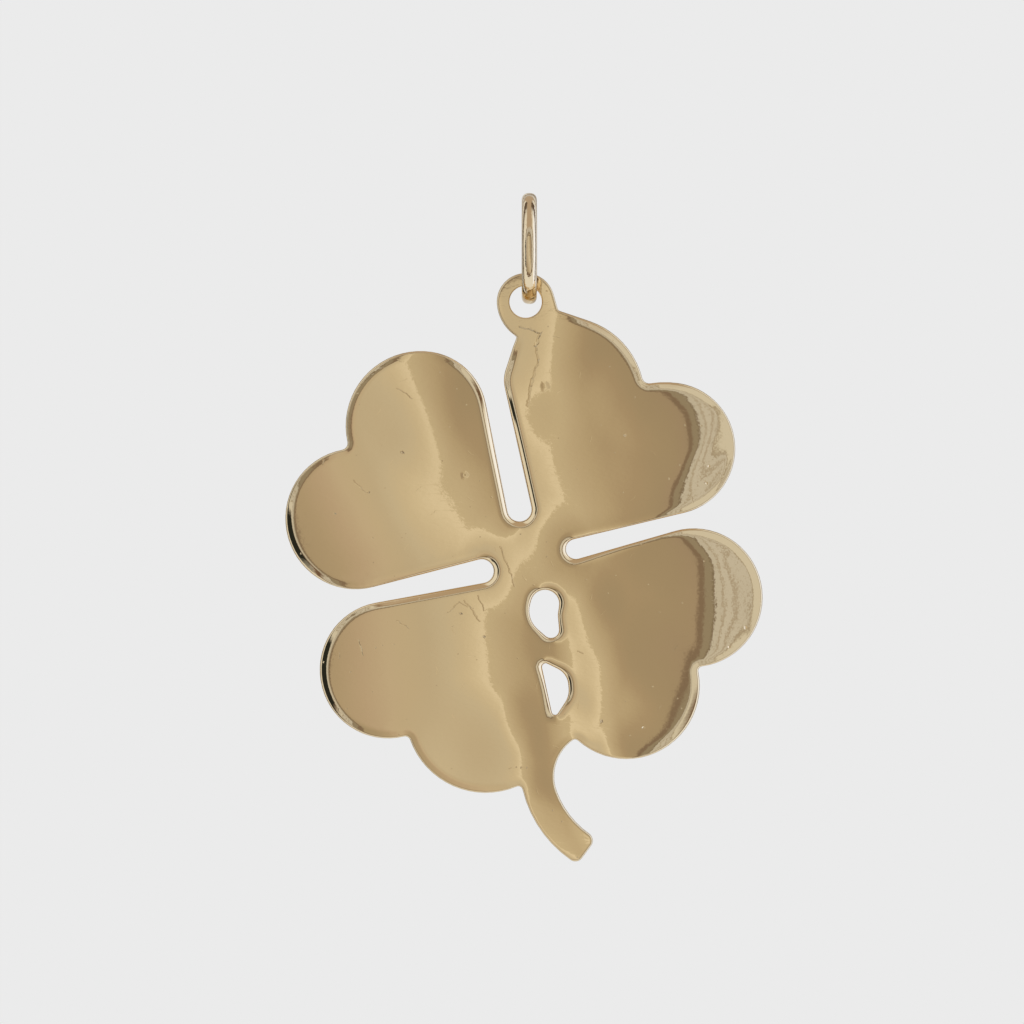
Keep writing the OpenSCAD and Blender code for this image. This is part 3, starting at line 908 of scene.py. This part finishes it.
# The colour that the gold shows at each slope across the card
FACE = [(-0.36, "#9B865F"), (-0.30, "#A18A63"), (-0.25, "#A68E68"), (-0.21, "#AC936C"),
        (-0.17, "#B59A74"), (-0.13, "#BDA47C"), (-0.10, "#BDA57C"), (-0.07, "#BCA57D"),
        (-0.045, "#C1AB83"), (-0.025, "#C7AF84"), (-0.01, "#CEB68A"), (0.006, "#D9C195"),
        (0.009, "#C1A97D"), (0.02, "#BFA77C"), (0.04, "#B9A076"), (0.06, "#B39A70"),
        (0.09, "#A78D66"), (0.12, "#A28A64"), (0.16, "#A08863"), (0.20, "#9F8663"),
        (0.26, "#988160")]
across = add(sky, MATH, slope_x, SHIFT, operation="ADD")
across = add(sky, MATH, slope_z, LEAN, across, operation="MULTIPLY_ADD")
high = add(sky, MATH, slope_z, slope_z, operation="MULTIPLY")
across = add(sky, MATH, high, BEND, across, operation="MULTIPLY_ADD")
ramp = add(sky, "ShaderNodeValToRGB", add(sky, RANGE, across, -BROAD, BROAD, 0, 1))
stops = ramp.color_ramp.elements
while len(stops) > 1:
    stops.remove(stops[-1])
for i, (at, code) in enumerate(FACE):
    share = (at + BROAD) / (2 * BROAD)
    stop = stops[0] if i == 0 else stops.new(share)
    stop.position = share
    stop.color = card(code)
dimming = add(sky, MATH, slope_z, FADE, 1.0, operation="MULTIPLY_ADD")
light = add(sky, VECTOR, ramp, operation="SCALE", sockets={"Scale": dimming})
print("colours on the broad card:", len(stops))

# %% [markdown]
# Steeper places of the gold, such as the sides of the domes and the bevels, look past that card. What
# they mirror changes in ovals around it: brown and olive lines with pale bands between them, then a
# brown ring, a pale ring, and the darkness at the sides of the tent.

# %% Ovals around the broad card
# Each oval: its middle to the side, then its reach to the sides, up and down, as slopes
OVAL = (-0.032, 0.2345, 0.272, 1.156)
STEEP = (0.0, 1.0, 1.0, 1.35)


def ellipse(x, reach_x, up, down):
    """How far out a direction is, counted in reaches of a card's oval edge."""
    side = add(sky, MATH, slope_x, x, operation="SUBTRACT")
    side = add(sky, MATH, side, reach_x, operation="DIVIDE")
    above = add(sky, MATH, slope_z, 0.0, operation="MAXIMUM")
    above = add(sky, MATH, above, up, operation="DIVIDE")
    below = add(sky, MATH, slope_z, 0.0, operation="MINIMUM")
    below = add(sky, MATH, below, down, operation="DIVIDE")
    height = add(sky, MATH, above, below, operation="ADD")
    place = add(sky, "ShaderNodeCombineXYZ", side, height, 0)
    return add(sky, VECTOR, place, operation="LENGTH").outputs["Value"]


oval = ellipse(*OVAL)
steep = ellipse(*STEEP)
# Each edge: which oval, how far out it starts and is full, and the colour beyond it
CARDS = [(oval, 0.90, 0.94, "#80684C"), (oval, 0.985, 1.01, "#917E5E"),
         (oval, 1.08, 1.105, "#786448"), (oval, 1.105, 1.12, "#BEAE90"),
         (oval, 1.17, 1.18, "#A38E6C"), (oval, 1.18, 1.20, "#C2B294"),
         (oval, 1.235, 1.245, "#A08A68"), (oval, 1.245, 1.265, "#C2B294"),
         (oval, 1.29, 1.30, "#96805E"), (oval, 1.30, 1.33, "#CDBC9A"),
         (steep, 0.38, 0.42, "#6E5238"), (steep, 0.44, 0.48, "#DDCBA8"),
         (steep, 0.85, 1.2, "#604C36")]
for measure, start, full, code in CARDS:
    edge_share = add(sky, RANGE, measure, start, full, 0, 1)
    light = add(sky, MIX, edge_share, light, card(code), data_type="RGBA")
print("edges of ovals:", len(CARDS))

# %% [markdown]
# Three more cards have straight edges: a bright one far to the right, which the right edges mirror, a
# brown one overhead, and a black one at the left, which makes the black crescents of the left
# leaves. The camera itself sees none of the cards, only plain pale paper.

# %% Straight cards
# The slopes where each edge starts and is full, each with the measure that it is counted along
sideways = add(sky, MATH, slope_x, operation="ABSOLUTE")
BRIGHT = [(slope_x, 0.45, 0.6), (steep, 1.2, 0.85)]
OVERHEAD = [(slope_z, 0.3, 0.42), (sideways, 0.32, 0.22)]
BLACK = [(slope_x, -0.37, -0.40), (slope_x, -0.56, -0.50), (slope_z, -0.42, -0.32),
         (slope_z, 0.16, 0.08)]
for edges, code in ((BRIGHT, "#F8EEDC"), (OVERHEAD, "#AF926C"), (BLACK, "#28261C")):
    inside = 1.0
    for measure, start, full in edges:
        edge_share = add(sky, RANGE, measure, start, full, 0, 1)
        inside = add(sky, MATH, inside, edge_share, operation="MULTIPLY")
    light = add(sky, MIX, inside, light, card(code), data_type="RGBA")
seen = add(sky, "ShaderNodeLightPath").outputs["Is Camera Ray"]
light = add(sky, MIX, seen, light, linear("#EBEBEB"), data_type="RGBA")
add(sky, "ShaderNodeOutputWorld", add(sky, "ShaderNodeBackground", light, 1.0))
print("surround:", len(sky.nodes), "nodes")

# %% [markdown]
# ## The floor
#
# White paper lies well below the pendant, out of the camera's view. The gold doesn't mirror it,
# because the painted cards already stand for everything around the pendant.

# %% Lay the floor
FLOOR_RADIUS = 110 * MM
FLOOR_HEIGHT = -60 * MM
base = bpy.data.meshes.new("floor")
disc = bmesh.new()
bmesh.ops.create_circle(disc, cap_ends=True, segments=128, radius=FLOOR_RADIUS)
bmesh.ops.translate(disc, verts=disc.verts, vec=(0, 0, FLOOR_HEIGHT))
disc.to_mesh(base)
disc.free()
floor = bpy.data.objects.new("floor", base)
paper = bpy.data.materials.new("matt_white_paper")
paper.use_nodes = True
paper_inputs = paper.node_tree.nodes["Principled BSDF"].inputs
paper_inputs["Base Color"].default_value = linear("#EDEDED")
paper_inputs["Roughness"].default_value = 0.9
base.materials.append(paper)
scene.collection.objects.link(floor)
floor.visible_glossy = False
print("floor:", round(2 * FLOOR_RADIUS / MM), "mm wide")

# %% [markdown]
# ## The lamp
#
# A large soft lamp stands above, in front and to the left. It lights the paper only, because gold
# this smooth shows a lamp as its mirror image, and the cards are what it should mirror.

# %% Hang the lamp
LAMP_SIZE = 300 * MM
LAMP_PLACE = (-100 * MM, -150 * MM, 300 * MM)
LAMP_TILT, LAMP_ROLL = 25, -15
LAMP_WATTS = 0.6
lamp = bpy.data.objects.new("soft_lamp", bpy.data.lights.new("soft_lamp", "AREA"))
lamp.data.size = LAMP_SIZE
lamp.data.energy = LAMP_WATTS
lamp.location = LAMP_PLACE
lamp.rotation_euler = (math.radians(LAMP_TILT), math.radians(LAMP_ROLL), 0)
lamp.visible_glossy = False
scene.collection.objects.link(lamp)
print("lamp:", round(LAMP_SIZE / MM), "mm wide and", LAMP_WATTS, "W")

# %% [markdown]
# ## The camera
#
# A long lens from far away sees the pendant nearly without perspective, so its outline can be
# compared with its real sizes. The picture is a set number of millimetres wide at the front of the
# plate. The Standard view keeps the colours as they were worked out.

# %% Set up the camera
PICTURE_WIDTH = 61.44 * MM
PICTURE_MIDDLE_X = -1.04 * MM
PICTURE_MIDDLE_Z = -18.32 * MM
PLATE_FRONT = -1.9 * MM
LENS = 200
SENSOR = 36
camera = bpy.data.objects.new("camera", bpy.data.cameras.new("camera"))
camera.data.lens = LENS
camera.data.sensor_width = SENSOR
camera_y = PLATE_FRONT - PICTURE_WIDTH * LENS / SENSOR
camera.location = (PICTURE_MIDDLE_X, camera_y, PICTURE_MIDDLE_Z)
camera.rotation_euler = (math.pi / 2, 0, 0)
camera.data.clip_start = 0.01
camera.data.clip_end = 10
scene.collection.objects.link(camera)
scene.camera = camera
scene.view_settings.view_transform = "Standard"
print("camera", round(-camera_y / MM), "mm in front")
